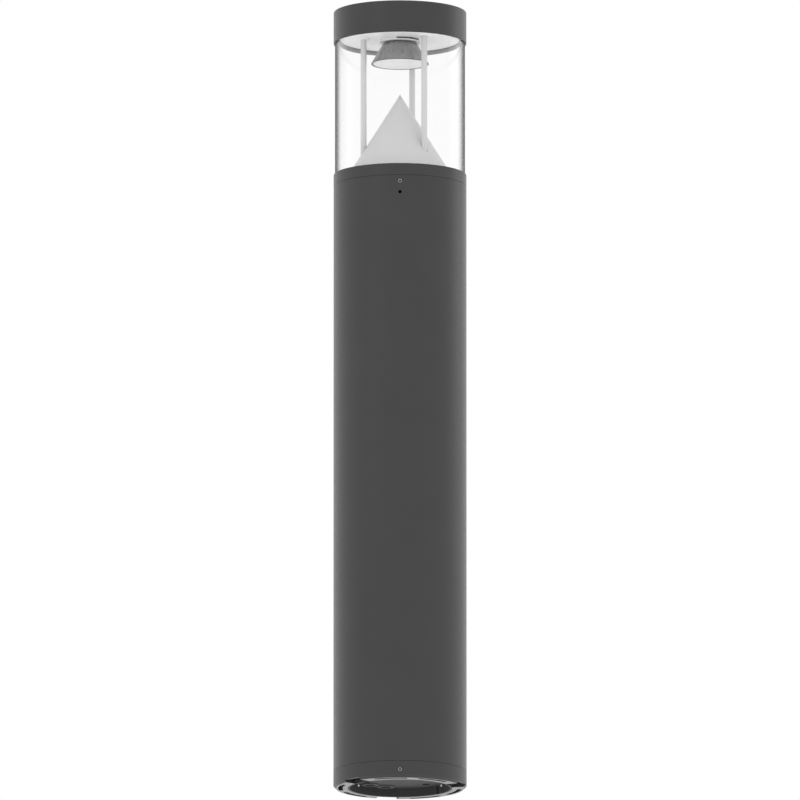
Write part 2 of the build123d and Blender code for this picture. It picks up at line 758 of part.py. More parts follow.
with BuildPart() as cone_reflector:
    cone_rise = cone_wall * (1 + cone_slope**2) ** 0.5 / cone_slope
    with BuildSketch(Plane.XZ):
        with BuildLine():
            Polyline(
                (0, cone_apex),
                (cone_radius, cone_base),
                (cone_radius + cone_foot, cone_base),
                (cone_radius + cone_foot, deck_top),
                ((cone_apex - cone_rise - deck_top) * cone_slope, deck_top),
                (0, cone_apex - cone_rise),
                close=True,
            )
        make_face()
    revolve(axis=Axis.Z)
    with BuildSketch(Plane.XY.offset(deck_top)):
        with three_places(rod_circle, rod_azimuth):
            Circle(cone_hole_radius)
        with three_places(cone_radius + cone_foot / 2, boss_azimuth):
            Circle(cone_screw + screw_gap)
    extrude(amount=cone_apex - deck_top, mode=Mode.SUBTRACT)
save(cone_reflector, "cone_reflector")

with BuildPart() as cone_screws:
    with BuildSketch(Plane.XY.offset(cone_base)):
        with three_places(cone_radius + cone_foot / 2, boss_azimuth):
            Circle(cone_screw + cone_screw_rim)
    extrude(amount=cone_screw_head)
    with BuildSketch(Plane.XY.offset(cone_base)):
        with three_places(cone_radius + cone_foot / 2, boss_azimuth):
            Circle(cone_screw)
    extrude(amount=-(cone_wall + deck_thickness))
save(cone_screws, "cone_screws")

# ================= optic and lamp =================

with BuildPart() as optic_reflector:
    with BuildSketch(Plane.XZ):
        with BuildLine():
            Polyline(
                (throat_radius, throat_top),
                (mouth_radius, mouth_bottom),
                (mouth_radius - optic_wall, mouth_bottom),
                (throat_radius - optic_wall, throat_top),
                close=True,
            )
        make_face()
    revolve(axis=Axis.Z)
save(optic_reflector, "optic_reflector")

with BuildPart() as optic_diffuser:
    optic_slope = (mouth_radius - throat_radius) / optic_height
    diffuser_fall = optic_slope * (diffuser_thickness + diffuser_inset)
    diffuser_radius = mouth_radius - optic_wall - screw_gap - diffuser_fall
    with BuildSketch(Plane.XY.offset(mouth_bottom + diffuser_inset)):
        Circle(diffuser_radius)
    extrude(amount=diffuser_thickness)
save(optic_diffuser, "optic_diffuser")

with BuildPart() as optic_holder:
    flange_bottom = sink_bottom - holder_flange_height
    tail_radius = throat_radius - optic_wall - screw_gap
    skirt_top = ceiling_bottom - screw_gap
    skirt_bottom = skirt_top - skirt_height
    skirt_inner = skirt_radius - skirt_wall
    with BuildSketch(Plane.XZ):
        with BuildLine():
            Polyline(
                (neck_bore, throat_top - neck_tail),
                (tail_radius, throat_top - neck_tail),
                (tail_radius, throat_top),
                (neck_radius, throat_top),
                (neck_radius, skirt_bottom),
                (skirt_radius, skirt_bottom),
                (skirt_radius, skirt_top),
                (skirt_inner, skirt_top),
                (skirt_inner, skirt_bottom + skirt_lip),
                (neck_radius, skirt_bottom + skirt_lip),
                (neck_radius, flange_bottom),
                (holder_flange, flange_bottom),
                (holder_flange, sink_bottom),
                (board_radius + screw_gap, sink_bottom),
                (board_radius + screw_gap, board_bottom),
                (neck_bore, board_bottom),
                close=True,
            )
        make_face()
    revolve(axis=Axis.Z)
    window_corners = [(0, 0)] + [spot(2 * skirt_radius, azimuth) for azimuth in skirt_window]
    with BuildSketch(Plane.XY.offset(skirt_bottom + skirt_lip)):
        Circle(skirt_radius + lap)
        Circle(skirt_inner - screw_gap, mode=Mode.SUBTRACT)
        Polygon(*window_corners, align=None, mode=Mode.INTERSECT)
    extrude(amount=skirt_height, mode=Mode.SUBTRACT)
    with BuildSketch(Plane.XY.offset(flange_bottom)):
        with three_places(holder_screw_circle, boss_azimuth):
            Circle(cone_screw + screw_gap)
    extrude(amount=holder_flange_height, mode=Mode.SUBTRACT)
    with BuildSketch(Plane.XY.offset(sink_bottom)):
        with PolarLocations((board_radius + holder_flange) / 2, 1, start_angle=rod_azimuth + 120 - 90):
            Rectangle(2 * (holder_flange - board_radius), 2 * lead_radius + lead_slot_room)
    extrude(amount=-(2 * lead_radius + lead_slot_floor), mode=Mode.SUBTRACT)
save(optic_holder, "optic_holder")

# A rubber ring round the neck, inside the holder's skirt.
with BuildPart() as neck_seal:
    with BuildSketch(Plane.XY.offset(skirt_bottom + skirt_lip)):
        Circle(skirt_inner - screw_gap)
        Circle(neck_radius + screw_gap, mode=Mode.SUBTRACT)
    extrude(amount=skirt_height - skirt_lip)
save(neck_seal, "neck_seal")

with BuildPart() as holder_screws:
    with BuildSketch(Plane.XY.offset(flange_bottom)):
        with three_places(holder_screw_circle, boss_azimuth):
            Circle(cone_screw + lap)
    extrude(amount=-holder_screw_head)
    with BuildSketch(Plane.XY.offset(flange_bottom)):
        with three_places(holder_screw_circle, boss_azimuth):
            Circle(cone_screw)
    extrude(amount=holder_flange_height + sink_base)
save(holder_screws, "holder_screws")

with BuildPart() as led_board:
    with BuildSketch(Plane.XY.offset(board_bottom)):
        Circle(board_radius)
    extrude(amount=board_thickness)
save(led_board, "led_board")

with BuildPart() as led_chip:
    with BuildSketch(Plane.XY.offset(board_bottom)):
        Circle(chip_radius)
    extrude(amount=-chip_thickness)
save(led_chip, "led_chip")

with BuildPart() as thermal_pad:
    with BuildSketch(Plane.XY.offset(sink_bottom - pad_thickness)):
        Circle(board_radius - lap)
    extrude(amount=pad_thickness)
save(thermal_pad, "thermal_pad")

with BuildPart() as heat_sink:
    fin_count = 2 * int((sink_radius - fin_thickness) / fin_pitch) + 1
    with BuildSketch(Plane.XY.offset(sink_bottom)):
        Circle(sink_radius)
    extrude(amount=sink_base)
    with BuildSketch(Plane.XY.offset(sink_bottom + sink_base)):
        with GridLocations(fin_pitch, 1, fin_count, 1):
            Rectangle(fin_thickness, 2 * sink_radius)
        Circle(sink_radius, mode=Mode.INTERSECT)
        with three_places(standoff_circle, boss_azimuth):
            Circle(standoff_radius + lap, mode=Mode.SUBTRACT)
    extrude(amount=fin_height)
    with BuildSketch(Plane.XY.offset(sink_bottom)):
        with three_places(standoff_circle, boss_azimuth):
            Circle(standoff_screw + screw_gap)
        with three_places(holder_screw_circle, boss_azimuth):
            Circle(cone_screw + screw_gap)
    extrude(amount=sink_base, mode=Mode.SUBTRACT)
save(heat_sink, "heat_sink")

with BuildPart() as heat_sink_screws:
    with BuildSketch(Plane.XY.offset(sink_bottom + sink_base)):
        with three_places(standoff_circle, boss_azimuth):
            Circle(2 * standoff_screw)
    extrude(amount=sink_screw_head)
    with BuildSketch(Plane.XY.offset(sink_bottom + sink_base)):
        with three_places(standoff_circle, boss_azimuth):
            Circle(standoff_screw)
    extrude(amount=-(sink_base + standoff_height - standoff_floor - hole_end_room))
save(heat_sink_screws, "heat_sink_screws")

# From the board, over to the rear rod, down through it, then across to the plug.
lead_level = sink_bottom - lead_radius - seat_gap
lead_exit = rod_bottom - lead_end_drop
with BuildPart() as led_lead:
    lead_points = [
        spot(board_radius + screw_gap, rod_azimuth + 120, lead_level),
        spot(rod_circle, rod_azimuth + 120, lead_level),
        spot(rod_circle, rod_azimuth + 120, lead_exit),
        Vector(lead_spot.X, gear_line, plug_top + lead_plug_run),
        Vector(lead_spot.X, gear_line, plug_top),
    ]
    with BuildLine() as lead_path:
        FilletPolyline(*lead_points, radius=[lead_bend, 3 * lead_bend, 2 * lead_bend])
    with BuildSketch(Plane(lead_points[0], z_dir=lead_points[1] - lead_points[0])):
        Circle(lead_radius)
    sweep(path=lead_path.line)
save(led_lead, "led_lead")

with BuildPart() as lead_plug:
    with BuildSketch(Plane.XY.offset(plug_bottom)):
        with Locations((lead_spot.X, gear_line)):
            Circle(plug_radius)
    extrude(amount=plug_length)
    with BuildSketch(Plane.XY.offset(plug_bottom)):
        with Locations((lead_spot.X, gear_line)):
            Circle(socket_nose_radius + socket_nose_gap)
    extrude(amount=socket_nose + 1, mode=Mode.SUBTRACT)
save(lead_plug, "lead_plug")
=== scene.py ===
import math

import bmesh
import bpy
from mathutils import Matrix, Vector


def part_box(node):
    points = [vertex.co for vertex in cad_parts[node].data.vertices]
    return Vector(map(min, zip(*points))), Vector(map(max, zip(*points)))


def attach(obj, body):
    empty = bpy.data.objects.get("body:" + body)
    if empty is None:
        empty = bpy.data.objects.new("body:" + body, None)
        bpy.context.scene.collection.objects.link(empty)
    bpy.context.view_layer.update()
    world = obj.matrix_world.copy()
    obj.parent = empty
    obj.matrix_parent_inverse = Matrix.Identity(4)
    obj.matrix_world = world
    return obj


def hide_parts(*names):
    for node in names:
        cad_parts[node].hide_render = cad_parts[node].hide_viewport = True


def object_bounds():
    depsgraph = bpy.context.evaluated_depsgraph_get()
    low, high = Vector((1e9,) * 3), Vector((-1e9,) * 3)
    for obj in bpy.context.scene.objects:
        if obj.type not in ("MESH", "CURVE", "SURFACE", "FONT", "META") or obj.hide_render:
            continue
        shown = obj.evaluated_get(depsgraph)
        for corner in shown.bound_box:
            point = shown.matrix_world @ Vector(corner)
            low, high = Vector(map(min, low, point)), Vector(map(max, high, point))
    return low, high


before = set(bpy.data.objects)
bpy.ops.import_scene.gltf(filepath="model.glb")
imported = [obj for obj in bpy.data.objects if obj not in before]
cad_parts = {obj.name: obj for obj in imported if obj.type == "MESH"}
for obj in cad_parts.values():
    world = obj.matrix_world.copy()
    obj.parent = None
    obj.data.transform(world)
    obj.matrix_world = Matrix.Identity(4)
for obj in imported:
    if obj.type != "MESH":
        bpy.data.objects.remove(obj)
cadLow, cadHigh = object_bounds()
mm = 0.001
print("frame loaded:", len(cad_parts), "nodes")

# ---------- sizes taken from the frame ----------
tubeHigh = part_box("post_tube")[1]
lensLow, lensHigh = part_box("lens")
bodyRadius = tubeHigh.x
totalHeight = cadHigh.z
thirds = (0, 120, 240)     # azimuths of the parts that come in threes


# A point on a circle. The azimuth is counted from the front (-Y) towards the right (+X).
def spot(radius, azimuth, height=0.0):
    turn = math.radians(azimuth)
    return Vector((radius * math.sin(turn), -radius * math.cos(turn), height))


# ---------- camera, floor and light ----------
cameraValues = {
    "elevation": -10.5,      # degrees, so the foot is seen from a little below
    "viewWidth": 1.0822,     # metres across the picture, at the post
    "aimDrop": 0.3 * mm,     # below the middle of the post
    "lens": 1500.0,          # long enough to look parallel
    "sensor": 36.0,
}


def makeCamera(values):
    data = bpy.data.cameras.new("camera")
    data.lens = values["lens"]
    data.sensor_width = values["sensor"]
    camera = bpy.data.objects.new("camera", data)
    bpy.context.scene.collection.objects.link(camera)
    lift = math.radians(values["elevation"])
    back = Vector((0, -math.cos(lift), math.sin(lift)))
    distance = values["viewWidth"] * values["lens"] / values["sensor"]
    camera.location = Vector((0, 0, totalHeight / 2 - values["aimDrop"])) + back * distance
    camera.rotation_mode = "QUATERNION"
    camera.rotation_quaternion = (-back).to_track_quat("-Z", "Y")
    data.clip_end = 2 * distance
    bpy.context.scene.camera = camera


floorValues = {
    "halfWidth": 40.0,
    "color": (0.86, 0.86, 0.86, 1),
    "patchSpread": 0.01,
    "patchSize": 0.5,
    "roughness": 0.8,
    "grainSize": 3 * mm,
    "grainDepth": 0.05 * mm,
}

lightValues = {
    "skyColor": (1, 1, 1, 1),
    "skyStrength": 1.0,
    "keyPower": 3.0,
    "keySize": 1.6,
    "keyPlace": (-2.2, -2.6, 2.4),
    "rimPower": 2.0,
    "rimSize": 1.4,
    "rimPlace": (2.6, 1.2, 1.6),
}


def makeSky(values):
    world = bpy.data.worlds.new("studio")
    world.use_nodes = True
    sky = world.node_tree.nodes["Background"]
    sky.inputs["Color"].default_value = values["skyColor"]
    sky.inputs["Strength"].default_value = values["skyStrength"]
    bpy.context.scene.world = world


def makeSoftbox(name, power, size, place):
    data = bpy.data.lights.new(name, "AREA")
    data.shape = "DISK"
    data.size = size
    data.energy = power
    box = bpy.data.objects.new(name, data)
    bpy.context.scene.collection.objects.link(box)
    box.location = place
    aim = Vector((0, 0, totalHeight / 2)) - Vector(place)
    box.rotation_mode = "QUATERNION"
    box.rotation_quaternion = aim.to_track_quat("-Z", "Y")


# ---------- material helpers ----------
def newMaterial(name):
    material = bpy.data.materials.new(name)
    material.use_nodes = True
    tree = material.node_tree
    shader = tree.nodes["Principled BSDF"]
    return material, tree, shader


def addNode(tree, kind, **inputs):
    node = tree.nodes.new(kind)
    for name, value in inputs.items():
        node.inputs[name].default_value = value
    return node


# Real-scale coordinates: one unit is one metre on every piece.
def metres(tree):
    return addNode(tree, "ShaderNodeTexCoord").outputs["Object"]


# Noise whose grains are about a given size in metres. Most of it lies between 0.3 and 0.7.
def grain(tree, size, detail=2.0):
    noise = addNode(tree, "ShaderNodeTexNoise", Scale=1 / size, Detail=detail)
    tree.links.new(metres(tree), noise.inputs["Vector"])
    return noise.outputs["Fac"]


def ramp(tree, factor, stops):
    node = tree.nodes.new("ShaderNodeValToRGB")
    while len(node.color_ramp.elements) < len(stops):
        node.color_ramp.elements.new(0.5)
    for element, (place, color) in zip(node.color_ramp.elements, stops):
        element.position = place
        element.color = color
    tree.links.new(factor, node.inputs["Fac"])
    return node.outputs["Color"]


def rangeOf(tree, factor, low, high, fromLow=0.3, fromHigh=0.7):
    node = addNode(tree, "ShaderNodeMapRange")
    node.inputs["From Min"].default_value = fromLow
    node.inputs["From Max"].default_value = fromHigh
    node.inputs["To Min"].default_value = low
    node.inputs["To Max"].default_value = high
    tree.links.new(factor, node.inputs["Value"])
    return node.outputs["Result"]


def bump(tree, height, distance, strength=1.0, after=None):
    node = addNode(tree, "ShaderNodeBump", Strength=strength, Distance=distance)
    tree.links.new(height, node.inputs["Height"])
    if after is not None:
        tree.links.new(after, node.inputs["Normal"])
    return node.outputs["Normal"]


def mixShaders(tree, factor, first, second):
    node = addNode(tree, "ShaderNodeMixShader")
    tree.links.new(factor, node.inputs["Fac"])
    tree.links.new(first, node.inputs[1])
    tree.links.new(second, node.inputs[2])
    return node.outputs["Shader"]


def mixColors(tree, factor, first, second):
    node = addNode(tree, "ShaderNodeMix")
    node.data_type = "RGBA"
    tree.links.new(factor, node.inputs["Factor"])
    tree.links.new(first, node.inputs["A"])
    tree.links.new(second, node.inputs["B"])
    return node.outputs["Result"]


def grey(level):
    return (level, level, level, 1)


# A color that drifts a little over the surface, in patches of a given size.
def drifting(tree, color, spread, size):
    low = tuple(c * (1 - spread) for c in color[:3]) + (1,)
    high = tuple(c * (1 + spread) for c in color[:3]) + (1,)
    return ramp(tree, grain(tree, size), [(0.3, low), (0.7, high)])


# ---------- finishes ----------
powderCoatValues = {
    "color": (0.0285, 0.0285, 0.0290, 1),
    "patchSpread": 0.05,
    "patchSize": 60 * mm,
    "roughness": (0.30, 0.38),
    "peelSize": 1.1 * mm,
    "peelDepth": 0.012 * mm,
    "fleckSize": 0.28 * mm,
    "fleckDepth": 0.004 * mm,
    "specular": 0.5,
}


def powderCoat(name, values):
    material, tree, shader = newMaterial(name)
    tree.links.new(drifting(tree, values["color"], values["patchSpread"], values["patchSize"]),
                   shader.inputs["Base Color"])
    tree.links.new(rangeOf(tree, grain(tree, values["peelSize"] * 4), *values["roughness"]),
                   shader.inputs["Roughness"])
    peel = bump(tree, grain(tree, values["peelSize"]), values["peelDepth"])
    fleck = bump(tree, grain(tree, values["fleckSize"], 1), values["fleckDepth"], after=peel)
    tree.links.new(fleck, shader.inputs["Normal"])
    shader.inputs["Specular IOR Level"].default_value = values["specular"]
    return material


enamelValues = {
    "patchSpread": 0.015,
    "patchSize": 40 * mm,
    "roughness": (0.38, 0.5),
    "peelSize": 0.9 * mm,
    "peelDepth": 0.006 * mm,
}


def enamel(name, color, values):
    material, tree, shader = newMaterial(name)
    tree.links.new(drifting(tree, color, values["patchSpread"], values["patchSize"]),
                   shader.inputs["Base Color"])
    tree.links.new(rangeOf(tree, grain(tree, values["peelSize"] * 5), *values["roughness"]),
                   shader.inputs["Roughness"])
    tree.links.new(bump(tree, grain(tree, values["peelSize"]), values["peelDepth"]),
                   shader.inputs["Normal"])
    return material


turningValues = {"distortion": 0.6, "detail": 1.0, "scalePerPitch": 0.05}


# Fine rings round the post's axis, as a lathe leaves them.
def turningMarks(tree, pitch):
    values = turningValues
    wave = addNode(tree, "ShaderNodeTexWave", Scale=values["scalePerPitch"] / pitch,
                   Distortion=values["distortion"], Detail=values["detail"])
    wave.wave_type = "RINGS"
    wave.rings_direction = "Z"
    tree.links.new(metres(tree), wave.inputs["Vector"])
    return wave.outputs["Fac"]


turnedMetalValues = {"patchSpread": 0.06, "patchSize": 8 * mm, "smudgeSize": 2 * mm}


def turnedMetal(name, color, roughness, pitch, depth):
    values = turnedMetalValues
    material, tree, shader = newMaterial(name)
    tree.links.new(drifting(tree, color, values["patchSpread"], values["patchSize"]),
                   shader.inputs["Base Color"])
    tree.links.new(rangeOf(tree, grain(tree, values["smudgeSize"]), *roughness),
                   shader.inputs["Roughness"])
    tree.links.new(bump(tree, turningMarks(tree, pitch), depth), shader.inputs["Normal"])
    shader.inputs["Metallic"].default_value = 1.0
    return material


sheetMetalValues = {
    "patchSpread": 0.18,
    "patchSize": 6 * mm,
    "roughness": (0.5, 0.7),
    "smudgeSize": 1.5 * mm,
    "skinSize": 0.8 * mm,
    "skinDepth": 0.06 * mm,
    "metallic": 0.9,
}


def sheetMetal(name, color, values):
    material, tree, shader = newMaterial(name)
    tree.links.new(drifting(tree, color, values["patchSpread"], values["patchSize"]),
                   shader.inputs["Base Color"])
    tree.links.new(rangeOf(tree, grain(tree, values["smudgeSize"]), *values["roughness"]),
                   shader.inputs["Roughness"])
    skin = bump(tree, grain(tree, values["skinSize"], 3), values["skinDepth"])
    tree.links.new(skin, shader.inputs["Normal"])
    shader.inputs["Metallic"].default_value = values["metallic"]
    return material


plasticValues = {
    "patchSpread": 0.03,
    "patchSize": 12 * mm,
    "smudgeSize": 1.2 * mm,
    "sparkDepth": 0.01 * mm,
}


def plastic(name, color, roughness=(0.42, 0.55), sparkSize=0.35 * mm):
    values = plasticValues
    material, tree, shader = newMaterial(name)
    tree.links.new(drifting(tree, color, values["patchSpread"], values["patchSize"]),
                   shader.inputs["Base Color"])
    tree.links.new(rangeOf(tree, grain(tree, values["smudgeSize"]), *roughness),
                   shader.inputs["Roughness"])
    tree.links.new(bump(tree, grain(tree, sparkSize), values["sparkDepth"]), shader.inputs["Normal"])
    return material


rubberValues = {
    "patchSpread": 0.15,
    "patchSize": 5 * mm,
    "roughness": (0.62, 0.8),
    "smudgeSize": 0.7 * mm,
    "grainSize": 0.25 * mm,
    "grainDepth": 0.02 * mm,
}


def rubber(name, color):
    values = rubberValues
    material, tree, shader = newMaterial(name)
    tree.links.new(drifting(tree, color, values["patchSpread"], values["patchSize"]),
                   shader.inputs["Base Color"])
    tree.links.new(rangeOf(tree, grain(tree, values["smudgeSize"]), *values["roughness"]),
                   shader.inputs["Roughness"])
    tree.links.new(bump(tree, grain(tree, values["grainSize"], 3), values["grainDepth"]),
                   shader.inputs["Normal"])
    return material


acrylicValues = {
    "ior": 1.49,
    "roughness": (0.0, 0.02),
    "color": (0.985, 0.985, 0.985, 1),
    "reflection": (0.35, 0.35, 0.35, 1),
    "swirlSize": 50 * mm,
    "edgeBlend": 0.5,
    "paintedEdgeShadeColor": (0.06, 0.06, 0.06, 1),
    # how much painted shade covers the outer face, from face-on to edge-on
    "edges": ((0.40, 0.0), (0.50, 0.02), (0.565, 0.07), (0.60, 0.15), (0.64, 0.30), (0.68, 0.52),
              (0.73, 0.73), (0.79, 0.82), (0.88, 0.84), (1.0, 0.84)),
}


# Clear acrylic. The outer face carries painted shade that grows towards its silhouette, set by a ramp on
# how far the face turns from view, not computed from the acrylic.
# Light that fills the chamber passes straight through it.
def clearAcrylic(name, values, outer):
    material, tree, shader = newMaterial(name)
    shader.inputs["Base Color"].default_value = values["color"]
    tree.links.new(rangeOf(tree, grain(tree, values["swirlSize"]), *values["roughness"]),
                   shader.inputs["Roughness"])
    shader.inputs["Transmission Weight"].default_value = 1.0
    shader.inputs["IOR"].default_value = values["ior"]
    shader.inputs["Specular Tint"].default_value = values["reflection"]
    surface = shader.outputs["BSDF"]
    if outer:
        # painted shade: a dark diffuse is mixed in as the outer face turns away from view
        facing = addNode(tree, "ShaderNodeLayerWeight", Blend=values["edgeBlend"]).outputs["Facing"]
        edge = ramp(tree, facing, [(place, grey(level)) for place, level in values["edges"]])
        dark = addNode(tree, "ShaderNodeBsdfDiffuse", Color=values["paintedEdgeShadeColor"])
        surface = mixShaders(tree, edge, surface, dark.outputs["BSDF"])
    clear = addNode(tree, "ShaderNodeBsdfTransparent")
    path = addNode(tree, "ShaderNodeLightPath")
    through = addNode(tree, "ShaderNodeMath")
    through.operation = "MAXIMUM"
    tree.links.new(path.outputs["Is Shadow Ray"], through.inputs[0])
    tree.links.new(path.outputs["Is Diffuse Ray"], through.inputs[1])
    surface = mixShaders(tree, through.outputs["Value"], surface, clear.outputs["BSDF"])
    tree.links.new(surface, tree.nodes["Material Output"].inputs["Surface"])
    return material


# The foot is painted outside, but its lower faces are turned bare.
def footFinish(name, coat, bare):
    material, tree, shader = newMaterial(name)
    geometry = addNode(tree, "ShaderNodeNewGeometry")
    normal = addNode(tree, "ShaderNodeSeparateXYZ")
    tree.links.new(geometry.outputs["Normal"], normal.inputs["Vector"])
    down = rangeOf(tree, normal.outputs["Z"], 1, 0, *bare["downNormal"])
    place = addNode(tree, "ShaderNodeSeparateXYZ")
    tree.links.new(metres(tree), place.inputs["Vector"])
    low = rangeOf(tree, place.outputs["Z"], 1, 0, *bare["faceHeight"])
    both = addNode(tree, "ShaderNodeMath")
    both.operation = "MULTIPLY"
    tree.links.new(down, both.inputs[0])
    tree.links.new(low, both.inputs[1])
    mask = both.outputs["Value"]
    color = mixColors(tree, mask, drifting(tree, coat["color"], coat["patchSpread"], coat["patchSize"]),
                      drifting(tree, bare["color"], bare["spread"], bare["patchSize"]))
    tree.links.new(color, shader.inputs["Base Color"])
    tree.links.new(mask, shader.inputs["Metallic"])
    tree.links.new(rangeOf(tree, mask, coat["roughness"][1], bare["roughness"], 0, 1),
                   shader.inputs["Roughness"])
    peel = bump(tree, grain(tree, coat["peelSize"]), coat["peelDepth"])
    rings = bump(tree, turningMarks(tree, bare["pitch"]), bare["depth"], after=peel)
    tree.links.new(rings, shader.inputs["Normal"])
    return material


# The cap is painted outside; the faces that look towards its axis are coloured pale grey.
def capFinish(name, coat, innerPale):
    material, tree, shader = newMaterial(name)
    geometry = addNode(tree, "ShaderNodeNewGeometry")
    flat = addNode(tree, "ShaderNodeVectorMath")
    flat.operation = "MULTIPLY"
    flat.inputs[1].default_value = (1, 1, 0)
    tree.links.new(metres(tree), flat.inputs[0])
    outward = addNode(tree, "ShaderNodeVectorMath")
    outward.operation = "DOT_PRODUCT"
    tree.links.new(flat.outputs["Vector"], outward.inputs[0])
    tree.links.new(geometry.outputs["Normal"], outward.inputs[1])
    reach = [-bodyRadius * part for part in innerPale["reach"]]
    mask = rangeOf(tree, outward.outputs["Value"], 1, 0, *reach)
    color = mixColors(tree, mask, drifting(tree, coat["color"], coat["patchSpread"], coat["patchSize"]),
                      drifting(tree, innerPale["color"], coat["patchSpread"], coat["patchSize"]))
    tree.links.new(color, shader.inputs["Base Color"])
    tree.links.new(rangeOf(tree, grain(tree, coat["peelSize"] * 4), *coat["roughness"]),
                   shader.inputs["Roughness"])
    peel = bump(tree, grain(tree, coat["peelSize"]), coat["peelDepth"])
    fleck = bump(tree, grain(tree, coat["fleckSize"], 1), coat["fleckDepth"], after=peel)
    tree.links.new(fleck, shader.inputs["Normal"])
    return material


bareFaceValues = {
    "color": (0.235, 0.235, 0.24, 1),
    "spread": 0.12,
    "patchSize": 9 * mm,
    "roughness": 0.34,
    "pitch": 0.5 * mm,
    "depth": 0.01 * mm,
    "downNormal": (-0.98, -0.9),             # upright part of the normal, from bare to painted
    "faceHeight": (0.3 * mm, 0.36 * mm),     # heights, from bare to painted
}

# "reach" is where the pale grey gives way to paint, in parts of the body's radius.
# pale grey on the cap's inward-facing faces; its cause is not known
innerPaleValues = {"color": (0.42, 0.42, 0.42, 1), "reach": (0.6, 0.5)}
anchorPaintValues = {
    **powderCoatValues,
    "color": (0.032, 0.032, 0.033, 1),
    "roughness": (0.6, 0.7),
    "peelSize": 2 * mm,
    "peelDepth": 0.05 * mm,
}
whiteEnamelValues = {**enamelValues, "patchSpread": 0.008}

print("stage: finishes")
finishes = {
    "powder": powderCoat("powderCoat", powderCoatValues),
    "foot": footFinish("footFinish", powderCoatValues, bareFaceValues),
    "cap": capFinish("capFinish", powderCoatValues, innerPaleValues),
    "anchor": powderCoat("anchorPaint", anchorPaintValues),
    "stainless": turnedMetal("stainlessSteel", (0.42, 0.42, 0.43, 1), (0.2, 0.32), 0.3 * mm, 0.003 * mm),
    # painted shade for the hexagon sockets of the set screws
    "socket": plastic("socketPaintedShade", (0.03, 0.03, 0.03, 1), (0.5, 0.6)),
    "acrylicOuter": clearAcrylic("acrylicOuterFace", acrylicValues, True),
    "acrylicInner": clearAcrylic("acrylicInnerFace", acrylicValues, False),
    "seal": rubber("sealRubber", (0.02, 0.02, 0.02, 1)),
    "grommet": rubber("grommetRubber", (0.06, 0.06, 0.062, 1)),
    # whiter than real white paint: the brightness above real enamel is painted light on the ceiling,
    # screws and flanges
    "whiteEnamel": enamel("whiteEnamel", (0.98, 0.98, 0.98, 1), whiteEnamelValues),
    "coneEnamel": enamel("coneEnamel", (0.64, 0.64, 0.64, 1), enamelValues),
    "rodEnamel": enamel("rodEnamel", (0.66, 0.66, 0.66, 1), enamelValues),
    "spunMetal": turnedMetal("spunReflector", (0.33, 0.33, 0.335, 1), (0.26, 0.34), 0.8 * mm, 0.004 * mm),
    # a dark painted shade line for the upper outer half of the reflector's rolled beads
    "beadPaintedShade": turnedMetal("rolledBeadPaintedShade", (0.10, 0.10, 0.10, 1), (0.4, 0.5), 0.8 * mm, 0.004 * mm),
    "opal": plastic("opalDiffuser", (0.92, 0.92, 0.92, 1), (0.35, 0.45), 0.5 * mm),
    "holder": plastic("holderPlastic", (0.78, 0.78, 0.78, 1)),
    "board": plastic("boardMask", (0.76, 0.76, 0.74, 1)),
    "chip": plastic("phosphor", (0.85, 0.66, 0.12, 1), (0.3, 0.4)),
    "pad": rubber("thermalPad", (0.2, 0.3, 0.45, 1)),
    "sink": turnedMetal("anodisedSink", (0.5, 0.5, 0.52, 1), (0.35, 0.45), 1.2 * mm, 0.004 * mm),
    "tray": sheetMetal("galvanisedSheet", (0.5, 0.5, 0.52, 1), sheetMetalValues),
    "driver": plastic("driverCase", (0.72, 0.72, 0.70, 1)),
    "surge": plastic("surgeCase", (0.045, 0.05, 0.06, 1)),
    "terminal": plastic("terminalPlastic", (0.6, 0.6, 0.56, 1)),
    "leadSleeve": rubber("leadSleeve", (0.7, 0.7, 0.7, 1)),
    "supplySleeve": rubber("supplySleeve", (0.03, 0.03, 0.03, 1)),
    "connector": plastic("connectorPlastic", (0.025, 0.025, 0.026, 1)),
    "brass": turnedMetal("plainBrass", (0.72, 0.52, 0.22, 1), (0.25, 0.35), 0.4 * mm, 0.003 * mm),
}

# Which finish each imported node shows.
nodeFinishes = {
    "powder": ("post_tube", "head_collar", "deck_plate"),
    "cap": ("cap_shell",),
    "foot": ("base_ring",),
    "anchor": ("anchor_plate",),
    "stainless": ("driver_screws", "surge_screws", "terminal_screws", "bracket_screws", "rod_top_nuts",
                  "rod_bottom_nuts", "cone_screws", "holder_screws", "heat_sink_screws"),
    "seal": ("spigot_o_ring", "lens_bottom_gasket", "lens_top_gasket", "neck_seal"),
    "grommet": ("cable_grommets",),
    "whiteEnamel": ("ceiling_plate", "ceiling_screws"),
    "rodEnamel": ("tie_rod_1", "tie_rod_2", "tie_rod_3"),
    "coneEnamel": ("cone_reflector",),
    "holder": ("optic_holder",),
    "board": ("led_board",),
    "chip": ("led_chip",),
    "pad": ("thermal_pad",),
    "sink": ("heat_sink",),
    "tray": ("gear_tray",),
    "driver": ("led_driver",),
    "surge": ("surge_protector",),
    "terminal": ("terminal_block", "socket_bracket"),
    "leadSleeve": ("led_lead", "driver_output_lead"),
    "supplySleeve": ("surge_lead", "driver_input_lead"),
    "connector": ("lead_plug", "lead_socket"),
    "brass": ("earth_stud", "earth_nuts"),
}


def paint(obj, material):
    obj.data.materials.clear()
    obj.data.materials.append(material)


for finish, nodeNames in nodeFinishes.items():
    for nodeName in nodeNames:
        paint(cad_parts[nodeName], finishes[finish])


# ---------- mesh helpers ----------
meshValues = {
    "roundSteps": 4,
    "shareOfSide": 0.3,      # most of a side that one round may take
    "guard": 1.5,            # a guard point's distance from the corner, in reaches of the round
    "weld": 0.001 * mm,
    "sharp": 35,             # degrees, above which an edge shades as a crease
}


